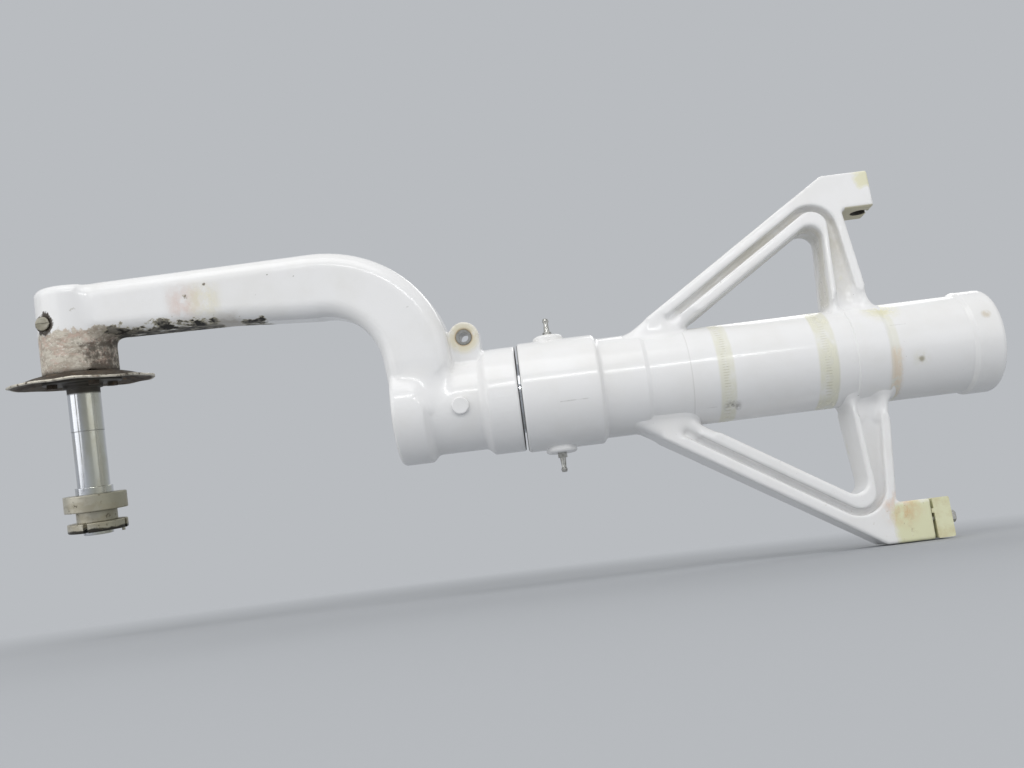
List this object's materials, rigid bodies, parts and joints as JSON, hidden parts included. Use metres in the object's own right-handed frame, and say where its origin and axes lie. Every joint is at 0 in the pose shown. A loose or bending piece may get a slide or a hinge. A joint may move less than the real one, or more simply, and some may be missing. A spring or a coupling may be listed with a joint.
{
  "type": "aircraft landing gear strut",
  "caption": "Oleo landing gear strut with triangular trunnion frames on its barrel, a telescoping piston and a one-sided goose-neck half fork that carries a bare wheel axle.",
  "frame": {"origin": "where the trunnion axis crosses the barrel's axis", "axes": "+X along the barrel from the fork to the closed end, +Z along the trunnion axis away from the axle's free end, +Y completes the right-handed frame"},
  "size_m": [0.977, 0.1409, 0.372],
  "materials": {
    "white_paint": "gloss white polyurethane paint over forged aluminium, worn and stained",
    "bright_steel": "ground and hard-chromed, polished",
    "machined_steel": "turned steel, cadmium grey",
    "worn_steel": "bare steel sheet, grimy with light rust",
    "bronze": "turned aluminium bronze",
    "plain_aluminium": "machined, clear anodised",
    "primer": "beige primer over forged aluminium",
    "seal_rubber": "black nitrile",
    "seal_plastic": "off-white fluoropolymer"
  },
  "bodies": {
    "cylinder": {"cylinder_barrel": "white_paint", "lower_bearing": "bronze", "piston_seal": "seal_rubber", "backup_rings": "seal_plastic", "bearing_seal": "seal_rubber", "wiper_ring": "seal_plastic", "gland_snap_ring": "machined_steel", "extension_stop": "plain_aluminium", "end_cap": "plain_aluminium", "end_cap_seal": "seal_rubber", "end_cap_snap_ring": "machined_steel", "air_valve": "machined_steel", "valve_cap": "bronze", "orifice_tube": "plain_aluminium", "orifice_plate": "machined_steel", "grease_fittings": "machined_steel", "upper_trunnion_frame": "white_paint", "lower_trunnion_frame": "white_paint", "trunnion_keeper": "primer", "keeper_screws": "machined_steel"},
    "piston_guide": {"upper_bearing": "bronze", "wear_band": "seal_plastic"},
    "fork": {"piston_tube": "bright_steel", "piston_snap_ring": "machined_steel", "piston_plug": "plain_aluminium", "plug_seal": "seal_rubber", "metering_pin": "machined_steel", "half_fork": "white_paint", "ear_bush": "machined_steel", "piston_cross_pin": "white_paint", "axle": "bright_steel", "brake_plate": "worn_steel", "brake_plate_bolts": "machined_steel", "axle_lock_bolt": "machined_steel", "axle_lock_nut": "machined_steel", "thrust_washer": "machined_steel", "axle_nut": "machined_steel", "axle_cotter_pin": "machined_steel"},
    "axle_spacer": {"wheel_spacer": "machined_steel"}
  },
  "joints": [
    {"name": "oleo_stroke", "type": "slide", "parent": "cylinder", "child": "piston_guide", "axis": [-1, 0, 0], "range_m": [0, 0.178]},
    {"name": "fork_swivel", "type": "hinge", "parent": "piston_guide", "child": "fork", "pos_m": [0, 0, 0], "axis": [1, 0, 0], "continuous": true},
    {"name": "spacer_spin", "type": "hinge", "parent": "fork", "child": "axle_spacer", "pos_m": [-0.808, 0, 0], "axis": [0, -0.1392, 0.9903], "continuous": true}
  ]
}
